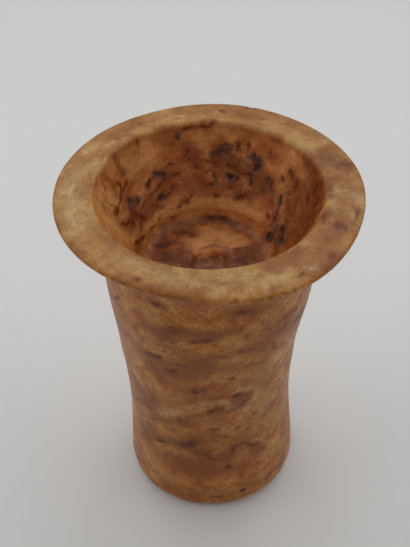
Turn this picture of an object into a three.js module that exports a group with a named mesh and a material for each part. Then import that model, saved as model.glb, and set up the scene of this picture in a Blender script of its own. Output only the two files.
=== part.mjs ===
// Alabaster vase: a concave body on a plain foot, a broad everted lip and a shallow drilled hollow.
// Millimetres, +Z up. The origin is the centre of the sole, and -Y is the side shown in front.
import * as THREE from "three";
import { mergeVertices } from "three/addons/utils/BufferGeometryUtils.js";

// Heights, from the sole up or from the rim down
const height = 125;
const beadHeight = 10;
const waistHeight = 39;
const bellyHeight = 68;
const neckDrop = 34;
const shoulderDrop = 17;
const hollowDepth = 30;

// Outer radii, from the foot up
const footRadius = 30.6;
const beadRadius = 30.3;
const waistRadius = 28.6;
const bellyRadius = 30;
const neckRadius = 32.7;
const shoulderRadius = 33.4;

// The lip, the mouth and the hollow
const mouthRadius = 33.6;
const lipWidth = 12.1;
const lipThickness = 2.6;
const lipFall = 0.4;
const lipEase = 3;
const lipRadius = mouthRadius + lipWidth;
const wallAtFloor = 10.7;
const floorRadius = neckRadius - wallAtFloor;
const wallBulge = 1.4;

// Eased edges
const footEase = 5;
const mouthEase = 2;
const floorEase = 4;

// The stump that the drill left in the middle of the floor, in a shallow ring
const stumpRadius = 6.2;
const stumpHeight = 0.9;
const ringWidth = 3.4;
const ringDepth = 0.3;

// Hand carving: how far the axis wanders to the left, and the lobes that leave the outlines out of round.
// A lobe is [count round the vase, swell in millimetres, direction of one swell in degrees from the front].
const leanShift = 0.55;
const waistShift = 1.15;
const rimShift = 0.5;
const hollowShift = 0.85;
const unevenDrop = 42;
const lipLobes = [
  [2, 0.16, 2],
  [3, 0.49, 30],
  [4, 0.24, 21],
  [5, 0.24, 26],
];
const mouthLobes = [
  [1, 0.51, -85],
  [2, 0.13, 7],
  [3, 0.19, -19],
];
const bodyLobes = [
  [2, 0.22, -31],
  [3, 0.27, -56],
];

// Fineness
const turnSteps = 68;
const bodySteps = 19;
const flareSteps = 6;
const edgeSteps = 4;
const wallSteps = 8;
const stumpSteps = 5;

const alabaster = new THREE.MeshStandardMaterial({
  name: "alabaster",
  color: new THREE.Color(0.3, 0.15, 0.06),
  roughness: 0.42,
  metalness: 0,
});

const point = (radius, z) => new THREE.Vector2(radius, z);

// Points along a curve, without its last one, which the next stretch begins with.
const stretch = (curve, steps) => curve.getPoints(steps).slice(0, -1);

// A rounded corner that turns from one point to another round the place where their two sides would meet.
const corner = (from, meet, to) => new THREE.QuadraticBezierCurve(from, meet, to);

// The flat sole, the rounded foot and the long concave side up to the shoulder
function outerSide() {
  const foot = point(footRadius, footEase);
  const shoulder = point(shoulderRadius, height - shoulderDrop);
  const side = new THREE.SplineCurve([
    foot,
    point(beadRadius, beadHeight),
    point(waistRadius, waistHeight),
    point(bellyRadius, bellyHeight),
    point(neckRadius, height - neckDrop),
    shoulder,
  ]);
  const soleEdge = point(footRadius - footEase, 0);
  return [
    point(0, 0),
    ...stretch(corner(soleEdge, point(footRadius, 0), foot), edgeSteps),
    ...stretch(side, bodySteps),
  ];
}

// The flare under the lip, its rounded edge, the sloping top and the eased edge of the mouth
function lip() {
  const shoulder = point(shoulderRadius, height - shoulderDrop);
  const outerTop = height - lipFall;
  const under = point(lipRadius - lipThickness / 2, outerTop - lipThickness);
  const flareMeet = point(shoulderRadius + lipWidth / 4, outerTop - lipThickness - lipFall);
  const tip = point(lipRadius, outerTop - lipThickness / 2);
  const over = point(lipRadius - lipEase, outerTop);
  const mouthTop = point(mouthRadius + mouthEase, height);
  const mouthWall = point(mouthRadius, height - mouthEase);
  return [
    ...stretch(corner(shoulder, flareMeet, under), flareSteps),
    ...stretch(corner(under, point(lipRadius, under.y), tip), edgeSteps),
    ...stretch(corner(tip, point(lipRadius, over.y), over), edgeSteps),
    ...stretch(new THREE.LineCurve(over, mouthTop), edgeSteps),
    ...stretch(corner(mouthTop, point(mouthRadius, height), mouthWall), edgeSteps),
  ];
}

// The tapering wall of the hollow, its floor, and the stump in the middle
function hollow() {
  const floor = height - hollowDepth;
  const mouthWall = point(mouthRadius, height - mouthEase);
  const wallFoot = point(floorRadius, floor + floorEase);
  const bulge = point(
    (mouthWall.x + wallFoot.x) / 2 + wallBulge,
    (mouthWall.y + wallFoot.y) / 2 - wallBulge,
  );
  const floorEdge = point(floorRadius - floorEase, floor);
  const ringOuter = point(stumpRadius + ringWidth, floor);
  const ringLow = point(stumpRadius + ringWidth / 2, floor - ringDepth);
  const ringInner = point(stumpRadius, floor - ringDepth);
  const stumpTop = point(0, floor + stumpHeight);
  return [
    ...stretch(corner(mouthWall, bulge, wallFoot), wallSteps),
    ...stretch(corner(wallFoot, point(floorRadius, floor), floorEdge), edgeSteps),
    floorEdge,
    ...stretch(corner(ringOuter, ringLow, ringInner), edgeSteps),
    ...stretch(corner(ringInner, point(stumpRadius / 2, stumpTop.y), stumpTop), stumpSteps),
    stumpTop,
  ];
}

const swell = (lobes, angle) =>
  lobes.reduce(
    (sum, [count, amount, at]) => sum + amount * Math.cos(count * (angle - THREE.MathUtils.degToRad(at))),
    0,
  );

// Moves one point of the true turned form to where the carver left it.
function handCarved(p) {
  const radius = Math.hypot(p.x, p.y);
  const angle = Math.atan2(p.x, -p.y);
  const risen = p.z / height;
  const nearTop = THREE.MathUtils.smoothstep(p.z, height - unevenDrop, height);
  const outward = THREE.MathUtils.clamp((radius - mouthRadius) / lipWidth, 0, 1);
  const top = THREE.MathUtils.lerp(swell(mouthLobes, angle), swell(lipLobes, angle), outward);
  const middle = THREE.MathUtils.smoothstep(radius, 0, floorRadius);
  const grown = radius + middle * THREE.MathUtils.lerp(swell(bodyLobes, angle), top, nearTop);
  const withinMouth = 1 - THREE.MathUtils.smoothstep(radius, floorRadius, mouthRadius);
  const inHollow = p.z > height / 2 ? middle * withinMouth : 0;
  const belly = Math.sin(Math.PI * risen) ** 2;
  const lean = leanShift * (1 - (1 - risen) ** 2);
  const left = lean + waistShift * belly + rimShift * nearTop + hollowShift * inHollow;
  return p.set(grown * Math.sin(angle) - left, -grown * Math.cos(angle), p.z);
}

function vaseGeometry() {
  const profile = [...outerSide(), ...lip(), ...hollow()];
  const turned = new THREE.LatheGeometry(profile, turnSteps).rotateX(Math.PI / 2);
  const places = turned.getAttribute("position");
  const p = new THREE.Vector3();
  for (let i = 0; i < places.count; i++) {
    handCarved(p.fromBufferAttribute(places, i));
    places.setXYZ(i, p.x, p.y, p.z);
  }
  turned.deleteAttribute("normal");
  turned.deleteAttribute("uv");
  const closed = mergeVertices(turned, 1e-3);
  closed.computeVertexNormals();
  return closed;
}

const vase = new THREE.Mesh(vaseGeometry(), alabaster);
vase.name = "vase";

const group = new THREE.Group();
group.add(vase);

export default group;
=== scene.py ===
"""Dresses the alabaster vase: a fine mesh of its hand-carved form in stained stone, on a pale floor.

The form is worked out in millimetres from the same driving sizes as the solid, and turned into
metres at the end. +Z is up and -Y is the front. Angles go round the vase from the front, in
degrees where they are written down, positive towards +X.
"""

import math
import random

import bpy
import numpy as np
from mathutils import Matrix, Vector, noise


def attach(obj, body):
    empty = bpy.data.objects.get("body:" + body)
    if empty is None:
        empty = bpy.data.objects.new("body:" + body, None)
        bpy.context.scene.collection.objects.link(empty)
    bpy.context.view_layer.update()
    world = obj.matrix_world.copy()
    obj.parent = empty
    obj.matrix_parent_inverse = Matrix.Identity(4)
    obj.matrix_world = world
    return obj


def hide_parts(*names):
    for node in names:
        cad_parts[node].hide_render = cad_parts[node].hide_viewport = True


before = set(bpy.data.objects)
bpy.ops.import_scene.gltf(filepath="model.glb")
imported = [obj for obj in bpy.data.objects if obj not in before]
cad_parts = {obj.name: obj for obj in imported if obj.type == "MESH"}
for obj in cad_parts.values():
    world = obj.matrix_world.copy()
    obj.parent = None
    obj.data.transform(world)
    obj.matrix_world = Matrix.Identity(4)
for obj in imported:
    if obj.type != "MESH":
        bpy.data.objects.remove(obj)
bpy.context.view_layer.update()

MM = 0.001

# Heights, from the sole up or from the rim down
HEIGHT = 125.0
BEAD_HEIGHT = 10.0
WAIST_HEIGHT = 39.0
BELLY_HEIGHT = 68.0
NECK_DROP = 34.0
SHOULDER_DROP = 17.0
HOLLOW_DEPTH = 30.0

# Outer radii, from the foot up
FOOT_RADIUS = 30.6
BEAD_RADIUS = 30.3
WAIST_RADIUS = 28.6
BELLY_RADIUS = 30.0
NECK_RADIUS = 32.7
SHOULDER_RADIUS = 33.4

# The lip, the mouth and the hollow
MOUTH_RADIUS = 33.6
LIP_WIDTH = 12.1
LIP_THICKNESS = 2.6
LIP_FALL = 0.4
LIP_EASE = 3.0
LIP_RADIUS = MOUTH_RADIUS + LIP_WIDTH
WALL_AT_FLOOR = 10.7
FLOOR_RADIUS = NECK_RADIUS - WALL_AT_FLOOR
WALL_BULGE = 1.4

# Eased edges
FOOT_EASE = 5.0
MOUTH_EASE = 2.0
FLOOR_EASE = 4.0

# The stump of the drilling and the shallow ring round it
STUMP_RADIUS = 6.2
STUMP_HEIGHT = 0.9
RING_WIDTH = 3.4
RING_DEPTH = 0.3

# Hand carving, as in the solid: how far the axis wanders to the left, and the lobes that leave the
# outlines out of round, as (count round the vase, swell, direction of one swell)
LEAN_SHIFT = 0.55
WAIST_SHIFT = 1.15
RIM_SHIFT = 0.5
HOLLOW_SHIFT = 0.85
UNEVEN_DROP = 42.0
LIP_LOBES = [(2, 0.16, 2), (3, 0.49, 30), (4, 0.24, 21), (5, 0.24, 26)]
MOUTH_LOBES = [(1, 0.51, -85), (2, 0.13, 7), (3, 0.19, -19)]
BODY_LOBES = [(2, 0.22, -31), (3, 0.27, -56)]

# Fineness of the mesh: columns round the vase, and rows along each stretch of its profile
COLUMNS = 330
ROWS = {
    "sole": 9,
    "foot": 8,
    "body": 128,
    "flare": 22,
    "lip_low": 6,
    "lip_high": 6,
    "top": 24,
    "mouth": 6,
    "wall": 44,
    "crease": 9,
    "floor": 11,
    "ring": 7,
    "stump": 9,
}


def smooth(low, high, x):
    """0 below low, 1 above high, and a smooth rise between them."""
    t = np.clip((x - low) / (high - low), 0, 1)
    return t * t * (3 - 2 * t)


def line(start, end, steps):
    t = np.linspace(0, 1, steps, endpoint=False)[:, None]
    return (1 - t) * np.array(start) + t * np.array(end)


def corner(start, meet, end, steps):
    """A rounded corner from start to end, round the place where their two sides would meet."""
    t = np.linspace(0, 1, steps, endpoint=False)[:, None]
    return (1 - t) ** 2 * np.array(start) + 2 * t * (1 - t) * np.array(meet) + t**2 * np.array(end)


def spline(points, steps):
    """A smooth curve through all the given points."""
    padded = np.array([points[0], *points, points[-1]])
    place = np.linspace(0, len(points) - 1, steps, endpoint=False)
    first = place.astype(int)
    t = (place - first)[:, None]
    before, start, end, after = (padded[first + k] for k in range(4))
    leave, arrive = (end - before) / 2, (after - start) / 2
    bend = 3 * (end - start) - 2 * leave - arrive
    twist = 2 * (start - end) + leave + arrive
    return start + leave * t + bend * t**2 + twist * t**3


def profile_stretches(rows):
    """The profile from the middle of the sole round to that of the floor, as (radius, height)."""
    foot = (FOOT_RADIUS, FOOT_EASE)
    shoulder = (SHOULDER_RADIUS, HEIGHT - SHOULDER_DROP)
    sole_edge = (FOOT_RADIUS - FOOT_EASE, 0)
    outer_top = HEIGHT - LIP_FALL
    under = (LIP_RADIUS - LIP_THICKNESS / 2, outer_top - LIP_THICKNESS)
    flare_meet = (SHOULDER_RADIUS + LIP_WIDTH / 4, outer_top - LIP_THICKNESS - LIP_FALL)
    tip = (LIP_RADIUS, outer_top - LIP_THICKNESS / 2)
    over = (LIP_RADIUS - LIP_EASE, outer_top)
    mouth_top = (MOUTH_RADIUS + MOUTH_EASE, HEIGHT)
    mouth_wall = (MOUTH_RADIUS, HEIGHT - MOUTH_EASE)
    floor = HEIGHT - HOLLOW_DEPTH
    wall_foot = (FLOOR_RADIUS, floor + FLOOR_EASE)
    half_way = ((mouth_wall[0] + wall_foot[0]) / 2, (mouth_wall[1] + wall_foot[1]) / 2)
    bulge = (half_way[0] + WALL_BULGE, half_way[1] - WALL_BULGE)
    floor_edge = (FLOOR_RADIUS - FLOOR_EASE, floor)
    ring_outer = (STUMP_RADIUS + RING_WIDTH, floor)
    ring_low = (STUMP_RADIUS + RING_WIDTH / 2, floor - RING_DEPTH)
    ring_inner = (STUMP_RADIUS, floor - RING_DEPTH)
    stump_top = (0, floor + STUMP_HEIGHT)
    side = [
        foot,
        (BEAD_RADIUS, BEAD_HEIGHT),
        (WAIST_RADIUS, WAIST_HEIGHT),
        (BELLY_RADIUS, BELLY_HEIGHT),
        (NECK_RADIUS, HEIGHT - NECK_DROP),
        shoulder,
    ]
    return {
        "sole": line((0, 0), sole_edge, rows["sole"]),
        "foot": corner(sole_edge, (FOOT_RADIUS, 0), foot, rows["foot"]),
        "body": spline(side, rows["body"]),
        "flare": corner(shoulder, flare_meet, under, rows["flare"]),
        "lip_low": corner(under, (LIP_RADIUS, under[1]), tip, rows["lip_low"]),
        "lip_high": corner(tip, (LIP_RADIUS, over[1]), over, rows["lip_high"]),
        "top": line(over, mouth_top, rows["top"]),
        "mouth": corner(mouth_top, (MOUTH_RADIUS, HEIGHT), mouth_wall, rows["mouth"]),
        "wall": corner(mouth_wall, bulge, wall_foot, rows["wall"]),
        "crease": corner(wall_foot, (FLOOR_RADIUS, floor), floor_edge, rows["crease"]),
        "floor": line(floor_edge, ring_outer, rows["floor"]),
        "ring": corner(ring_outer, ring_low, ring_inner, rows["ring"]),
        "stump": corner(ring_inner, (STUMP_RADIUS / 2, stump_top[1]), stump_top, rows["stump"]),
    }


def swell(lobes, angle):
    return sum(amount * np.cos(count * (angle - math.radians(at))) for count, amount, at in lobes)


def hand_carved(radius, angle, z):
    """Points in millimetres where the carver left those of the true turned form."""
    risen = z / HEIGHT
    near_top = smooth(HEIGHT - UNEVEN_DROP, HEIGHT, z)
    outward = np.clip((radius - MOUTH_RADIUS) / LIP_WIDTH, 0, 1)
    top = (1 - outward) * swell(MOUTH_LOBES, angle) + outward * swell(LIP_LOBES, angle)
    middle = smooth(0, FLOOR_RADIUS, radius)
    grown = radius + middle * ((1 - near_top) * swell(BODY_LOBES, angle) + near_top * top)
    inside = middle * (1 - smooth(FLOOR_RADIUS, MOUTH_RADIUS, radius)) * (z > HEIGHT / 2)
    left = LEAN_SHIFT * (1 - (1 - risen) ** 2) + WAIST_SHIFT * np.sin(np.pi * risen) ** 2
    left = left + RIM_SHIFT * near_top + HOLLOW_SHIFT * inside
    return np.stack([grown * np.sin(angle) - left, -grown * np.cos(angle), z], -1)


# Marks in the stone, each (half width, strength, place, place, ...) with the places along it. Iron is
# a dark stain with a rusty edge, rust and plum are washes, cream and gold are clear bands, and pit is
# iron gone to holes. Some rows of iron, rust and plum are painted shade instead, each noted where it
# stands. On the body a place is (angle, height).
BODY_IRON_AND_SHADE = [
    (1.2, 0.8, (-28, 106.8), (-27, 106.8)),
    (1, 0.6, (15, 105), (20, 104.5)),
    (0.92, 0.48, (19, 102.5), (23, 102.5)),
    (1.6, 0.6, (-21, 96.5), (-14, 97.7)),
    (1.1, 0.72, (-9, 94), (-1, 94.4)),
    (0.76, 0.66, (-38.5, 93.6), (-35.5, 94)),
    (0.67, 0.54, (-40.5, 91.5), (-39.5, 89.5)),
    (0.63, 0.48, (-38, 98), (-37, 98.4)),
    (1, 0.78, (-61, 95.5), (-57, 96.8), (-53, 98.5)),
    (0.63, 1.1, (-9, 85), (-7.8, 85.1)),
    (0.76, 0.6, (1.5, 86), (3, 86.4)),
    (0.84, 0.6, (5, 86), (9, 85)),
    (0.92, 0.54, (16, 88.5), (19, 87)),
    (0.84, 0.54, (23, 86.6), (28, 84.6)),
    (1, 0.66, (37.5, 85), (40.5, 81)),
    (0.67, 0.48, (30, 84.5), (32, 83.5)),
    (0.97, 0.75, (43, 94.5), (47, 95.2), (51, 96.5)),
    (0.71, 0.63, (53, 98), (60, 101.5)),
    (0.62, 0.75, (42.5, 91), (53, 95)),
    (0.63, 0.6, (37.5, 87.5), (44, 92.5)),
    (1.3, 0.83, (52, 86.5), (57, 88.3), (62, 90)),
    # Painted shade: these four fine dark lines rising to the right stand for the shaded grooves of tool
    # chatter, which the mesh does not carve.
    (0.62, 0.75, (50, 84), (65, 87.5)),
    (0.6, 0.63, (60, 82), (78, 87)),
    (0.62, 0.63, (58, 78), (76, 82)),
    (0.6, 0.57, (66, 93), (84, 98)),
    (1.2, 0.96, (-33.5, 80.8), (-27.5, 82.2)),
    (0.92, 0.78, (-17, 80.4), (-11, 80.7)),
    (1.1, 0.48, (-7, 82), (-4, 78.5)),
    (1.1, 0.9, (-23.5, 76), (-19.5, 76.5)),
    (0.76, 0.6, (-41.5, 71.2), (-38, 71.8)),
    (0.84, 0.72, (12.5, 72.4), (15.5, 72.4)),
    (0.92, 0.36, (33, 72.4), (36, 72)),
    (1.1, 0.96, (-8.6, 66), (-6.4, 67.6)),
    (0.76, 0.72, (-6, 68), (1.5, 68.2)),
    (0.76, 0.9, (16, 62.2), (21.5, 63.2)),
    (0.92, 0.6, (22, 58), (26, 58.4)),
    (1.2, 1, (1, 56), (8.5, 57)),
    (1.1, 0.78, (-20, 49), (-13, 50)),
    (0.92, 0.48, (-19, 46), (-14, 46.6)),
    (0.84, 0.48, (-49, 48), (-43, 49)),
    (0.84, 0.72, (-58, 44.6), (-52, 47)),
    (0.84, 0.66, (2, 45.2), (7, 46)),
    (0.76, 0.36, (13, 47.5), (16, 47)),
    (0.76, 0.9, (31.5, 48.8), (34.5, 49.2)),
    (0.6, 0.63, (60.5, 52.6), (62.5, 51.6)),
    (0.76, 0.96, (27.6, 41.8), (30.6, 41.4)),
    (0.76, 0.72, (-44, 41.6), (-42, 42.6)),
    (0.76, 0.72, (-47.5, 37), (-44, 38)),
    (1.7, 0.78, (-19, 35), (-11, 37)),
    (0.92, 0.84, (-38, 32), (-30, 33.6)),
    (0.76, 0.6, (-56, 26), (-48, 31)),
    (0.84, 0.9, (16, 32.2), (20, 34.2), (26, 34.6)),
    (1.3, 1, (29, 32.6), (33.5, 31)),
    (1.2, 0.84, (-2, 31), (3.5, 28.8)),
    (0.84, 0.6, (11, 29), (14, 28.6)),
    (0.92, 0.72, (37, 27.4), (40.5, 26)),
    (0.67, 0.48, (33, 26), (35, 25.6)),
    (0.67, 0.6, (40.5, 31.2), (46.5, 31.2)),
    (1.1, 1.1, (12, 23.9), (13.8, 23.9)),
    (0.67, 1.1, (-25.6, 17.6), (-24.6, 18)),
    (0.67, 0.6, (-22, 20.6), (-19, 21.4)),
    (0.76, 1, (-8.6, 14.8), (-5, 15)),
    (0.67, 0.72, (20.5, 19.2), (23, 19.2)),
    (0.67, 0.48, (37, 18.6), (39.5, 19.2)),
    (0.92, 0.6, (41.5, 14.2), (47.5, 14.8)),
    (1.1, 1.1, (21.4, 8.4), (22.8, 8.4)),
    (0.76, 0.9, (1, 7.4), (6.6, 7.6)),
    (0.92, 0.66, (-64, 8.2), (-55, 9.4)),
    # Painted shade: a dark band along the foot on the right.
    (1.2, 0.63, (42, 8.6), (54, 8.4), (66, 7.6)),
    # Painted shade: these three fine dark lines rising to the right stand for the shaded grooves of
    # tool chatter, which the mesh does not carve.
    (0.6, 0.63, (42, 62), (60, 68.8)),
    (0.6, 0.57, (53, 51), (64, 57.5)),
    (0.6, 0.5, (52, 66), (70, 73)),
    (0.6, 0.5, (46, 29), (54, 28), (61, 24.6)),
    (0.8, 0.7, (-34, 92), (-32, 92.4)),
    (0.8, 0.7, (-20, 99), (-17, 99.4)),
    (0.7, 0.8, (3, 92), (4, 92)),
    (0.8, 0.6, (18, 94), (21, 94)),
    (0.7, 0.7, (-25, 86), (-23, 86.4)),
    (0.7, 0.6, (-3, 75), (0, 75)),
    (0.7, 0.7, (20, 79), (22, 79.4)),
    (0.7, 0.6, (29, 77), (32, 77)),
    (0.7, 0.7, (-36, 63), (-34, 63.4)),
    (0.7, 0.7, (-50, 56), (-48, 56.4)),
    (0.7, 0.6, (-26, 42), (-24, 42.4)),
    (0.7, 0.7, (16, 50), (18, 50)),
    (0.7, 0.7, (20, 44), (21.6, 44)),
    (0.7, 0.7, (40, 44), (42, 44.4)),
    (0.7, 0.7, (-34, 25), (-32, 25.4)),
    (0.7, 0.7, (2, 21), (4, 21)),
    (0.7, 0.6, (-42, 12), (-40, 12.4)),
    (0.7, 0.7, (34, 20), (36, 20)),
    (0.7, 0.7, (-12, 5.6), (-10, 5.6)),
]
BODY_RUST_AND_SHADE = [
    (2.2, 0.6, (-31, 107), (-24, 106.4)),
    (3.4, 0.6, (11, 105), (20, 105), (34, 104)),
    (2, 0.6, (9, 98), (16, 97.5)),
    (1.4, 0.6, (-67, 95), (-62, 98)),
    (1.2, 0.6, (-38, 85.5), (-34, 86.5)),
    (2.8, 0.6, (0, 85.5), (10, 86)),
    (3.2, 0.65, (15, 87.5), (22, 87), (29, 85)),
    (3.6, 0.6, (-30, 73), (-14, 73), (2, 78), (14, 80)),
    (3, 0.45, (8, 76), (24, 77), (36, 74)),
    (2.8, 0.6, (26, 68), (36, 66), (41, 62)),
    (2.2, 0.75, (-13, 66.5), (-5, 68), (3, 69)),
    (1.2, 0.6, (-35, 66.5), (-30, 67)),
    (1.2, 0.5, (-45, 62), (-40, 64.5)),
    (1, 0.4, (-56, 59.5), (-52, 61.5)),
    (2.6, 0.8, (19, 60.5), (27, 61)),
    (2, 0.9, (-16, 50.8), (-8, 52.5), (0, 54.5), (10, 55.2)),
    (3.2, 0.75, (-38, 45), (-28, 46), (-16, 48), (0, 50), (10, 51)),
    (1.8, 0.5, (49, 47.5), (56, 47.5)),
    (2, 0.5, (-58, 22), (-50, 29)),
    (6.5, 0.8, (-30, 24), (-10, 22), (6, 24), (22, 22)),
    (4.5, 0.55, (-24, 42), (-6, 42), (6, 40)),
    (3.6, 0.5, (0, 38), (12, 36), (24, 38)),
    (2, 0.5, (11, 19), (19, 17)),
    (1.2, 0.5, (29, 13), (32, 12.6)),
    (1.3, 0.7, (-21, 11), (-12, 12)),
    (1.6, 0.7, (22, 5.6), (26, 4.6)),
    # Painted shade: a grey-dark band low on the left and front of the foot, where the vase meets the
    # floor.
    (2.2, 0.5, (-48, 5.2), (-24, 4.6), (-6, 4.6)),
    # Partly painted shade: a broad wash that darkens the body towards the foot, over some rusty stone.
    (5, 0.6, (-34, 9), (-4, 8), (30, 9)),
    (5, 0.35, (-44, 56), (-20, 60), (0, 64)),
]
BODY_PLUM = [
    (2, 0.7, (14, 105), (22, 104)),
    (2.8, 0.9, (-33, 95), (-22, 96), (-13, 97.5), (-2, 96.5), (4, 96)),
    (2.2, 0.7, (-26, 94), (-14, 95)),
    (2.6, 0.5, (28, 88), (36, 85), (42, 81.5)),
    (3, 0.6, (42, 89), (52, 89), (64, 92)),
    (4.2, 0.75, (-38, 80), (-24, 79), (-10, 80), (0, 82)),
    (3.2, 0.6, (-34, 76), (-20, 75), (-8, 78)),
    (3.2, 0.7, (-64, 44), (-54, 46), (-44, 49), (-36, 53)),
    (2.6, 0.6, (-56, 40), (-44, 42), (-34, 46)),
    (3.4, 0.9, (-52, 31.5), (-36, 34), (-20, 36), (-8, 38)),
    (3, 0.8, (16, 32), (26, 33), (38, 27)),
    (3, 0.85, (-6, 32), (2, 30), (14, 29.5)),
]
BODY_CREAM = [
    (2.6, 0.75, (-34, 50.6), (-28, 51.2), (-24, 52)),
    (2, 0.45, (-22, 54), (-14, 57), (-3, 59.4)),
    (2.2, 0.5, (-2, 60), (8, 61), (15, 60)),
    (1.8, 0.5, (10, 56.5), (16, 57.6)),
    (2, 0.6, (22, 65), (28, 66)),
    (2.2, 0.6, (25, 54.5), (30, 56), (35, 61)),
    (1, 0.6, (19, 66.4), (25, 67)),
    (2, 0.6, (46, 73.8), (58, 75), (70, 76)),
    (1.6, 0.5, (50, 60), (60, 64), (76, 70)),
    (1.8, 0.5, (-52, 78), (-46, 74), (-52, 66), (-48, 58)),
]
BODY_GOLD = [
    (4.6, 0.9, (35, 70), (38, 60), (37, 48)),
    (5, 0.7, (16, 44), (30, 40), (44, 42)),
    (5.5, 0.8, (48, 40), (60, 36), (70, 40)),
    (4, 0.7, (44, 22), (56, 20), (64, 18)),
    (4.6, 0.75, (-46, 20), (-38, 14), (-26, 13)),
    (2.6, 0.6, (-36, 102.6), (-28, 102)),
    (2.8, 0.6, (22, 95), (36, 97), (10, 93)),
    (3.2, 0.6, (-46, 88), (-44, 84), (-46, 80)),
    (2.6, 0.5, (-30, 60), (-20, 63), (-16, 65)),
    (2.8, 0.5, (-28, 90), (-10, 91)),
    (3, 0.6, (42, 78), (52, 80), (42, 72)),
    (2.4, 0.45, (-6, 11), (12, 11), (14, 14)),
]

# On the lip a place is (angle, radius).
LIP_IRON = [
    (0.8, 0.7, (111, 42.6), (106, 43)),
    (0.7, 0.6, (104, 39.6), (100, 41)),
    (0.7, 0.6, (88, 34.8), (84, 35.4)),
    (0.8, 0.6, (77, 43), (71, 43.8)),
    (0.8, 0.7, (68, 35.6), (63, 36)),
    (0.8, 0.7, (49, 43.4), (44, 44)),
    (0.5, 0.8, (162.8, 44.8), (161.8, 44.9)),
    (0.5, 0.6, (155, 44.2), (153.6, 44.2)),
    (0.8, 0.6, (175.8, 40.6), (175.2, 39.8)),
    (0.7, 0.5, (144.4, 41.6), (142.8, 40.6)),
    (0.5, 0.5, (139.4, 44), (137.6, 43.8)),
    (0.6, 0.4, (118, 41), (116, 41.4)),
    (1.1, 0.6, (106, 42.2), (104, 42.8)),
    (0.5, 0.5, (99.6, 44.8), (98.4, 44.9)),
    (0.5, 0.45, (91.4, 41), (90.6, 43)),
    (1.2, 0.65, (65.6, 40.2), (63.4, 40.6)),
    (0.7, 0.5, (44, 44.6), (42, 44.8)),
    (0.9, 0.8, (33, 42.5), (32, 42.9)),
    (0.6, 0.6, (-27, 43.2), (-25, 43.2)),
    (0.6, 0.4, (-117, 38.2), (-115, 38.6)),
    (0.5, 0.6, (-136.4, 44.6), (-134, 44.8)),
    (0.5, 0.5, (-166, 42.4), (-164.6, 42.8)),
]
LIP_RUST = [
    (5, 0.6, (120, 40), (104, 40), (84, 40), (64, 40), (46, 41)),
    (3.4, 0.5, (52, 38), (62, 37), (72, 36)),
    (3, 0.35, (24, 38), (36, 39), (48, 40)),
    (3.4, 0.5, (122, 41), (134, 42), (150, 42)),
    (3.2, 0.55, (158, 39), (174, 40), (190, 40)),
    (3, 0.5, (-166, 41), (-146, 41), (-130, 40)),
    (1.6, 0.5, (150, 43), (166, 43.6), (184, 43.6)),
    (2.2, 0.35, (-112, 39), (-102, 40), (-94, 38)),
    (1, 0.7, (179, 40.2), (178, 39.8)),
    (1.2, 0.8, (167.4, 39.6), (164, 40)),
    (1.6, 0.7, (145.6, 40.6), (142, 41.4)),
    (0.9, 0.6, (152, 44), (150, 44)),
    (0.8, 0.5, (138.4, 35.6), (136, 36)),
    (3, 0.5, (116, 36.4), (109, 37.6), (103, 38.6)),
    (2, 0.7, (111, 41.6), (106, 41.4)),
    (2.2, 0.5, (98, 38), (96, 36)),
    (1.8, 0.8, (79, 42.6), (75, 43.6)),
    (2.4, 0.6, (74, 38), (66, 38.6)),
    (1.3, 0.7, (59, 42), (56, 42.6)),
    (1.3, 0.5, (56, 38.4), (52, 39)),
    (1.9, 0.8, (50, 42.6), (43, 44)),
    (1.6, 0.6, (44, 37), (36, 37.6)),
    (1.1, 0.7, (34, 42.4), (31, 43)),
    (0.9, 0.8, (24.4, 44.2), (20.6, 44.5)),
    (0.8, 0.7, (17.4, 43.6), (15, 43.8)),
    (0.9, 0.7, (13, 37), (10.8, 37.4)),
    (0.7, 0.6, (12, 40), (10.4, 40)),
    (0.8, 0.6, (5, 40.4), (3, 40.6)),
    (0.8, 0.5, (1, 39.2), (-1, 39.2)),
    (0.9, 0.5, (21, 39.6), (18, 39.4)),
    (0.9, 0.5, (28, 37), (25, 37.4)),
    (1, 0.3, (-13, 44.2), (-8, 44.2), (3, 45)),
    (0.8, 0.6, (-22.4, 44), (-20, 44)),
    (1.1, 0.5, (-38, 43), (-32, 43.6)),
    (1.3, 0.8, (-37, 34.6), (-28, 34.8)),
    (1.3, 0.8, (-56, 44.4), (-49, 44.6)),
    (1, 0.6, (-90, 38.2), (-87, 38.6)),
    (1.2, 0.5, (-101, 36), (-97, 36)),
    (1, 0.5, (-99, 41.6), (-95, 41.4)),
    (1.2, 0.6, (-148, 40.4), (-145, 40.8)),
    (1, 0.5, (-118, 35.4), (-112, 35.6)),
]
LIP_PLUM = [
    (2.4, 0.8, (114, 37), (108, 40), (104, 43)),
    (1.8, 0.8, (92, 35), (84, 35.2)),
    (1.1, 0.8, (176.6, 40.4), (174.6, 40.3)),
    (0.9, 0.6, (166, 39.8), (164.6, 39.8)),
    (0.9, 0.6, (147.6, 45), (144, 45.2)),
    (0.9, 0.6, (129.6, 42.4), (127, 42.6)),
    (0.9, 0.5, (125.6, 44.2), (120, 44.6)),
    (1.3, 0.7, (113, 41.6), (111.4, 41.2)),
    (1.8, 1, (107, 42), (103.4, 43)),
    (1.1, 0.9, (86.6, 35), (84.6, 35.4)),
    (1.2, 0.7, (71, 43.2), (68.4, 43.8)),
    (1.6, 1, (66, 40), (63, 40.8)),
    (2, 0.8, (70, 35.2), (65, 35.6)),
    (1.4, 0.9, (49.6, 43.4), (46, 44.2)),
    (1.2, 0.8, (41.4, 35.6), (38, 36)),
    (1, 0.8, (-28, 43), (-24.4, 43.4)),
    (1.3, 0.4, (-46, 35), (-38, 36)),
    (1.1, 0.4, (-53, 40.4), (-49, 40.8)),
    (0.9, 0.5, (-140, 39), (-136, 39.4)),
    (0.8, 0.6, (-131, 44.8), (-126, 45)),
    (0.7, 0.7, (-163, 36), (-161.6, 37.4)),
    (0.9, 0.5, (-156, 43), (-152, 43.2)),
    (0.9, 0.5, (-176, 43.4), (-172, 43.4)),
]
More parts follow.
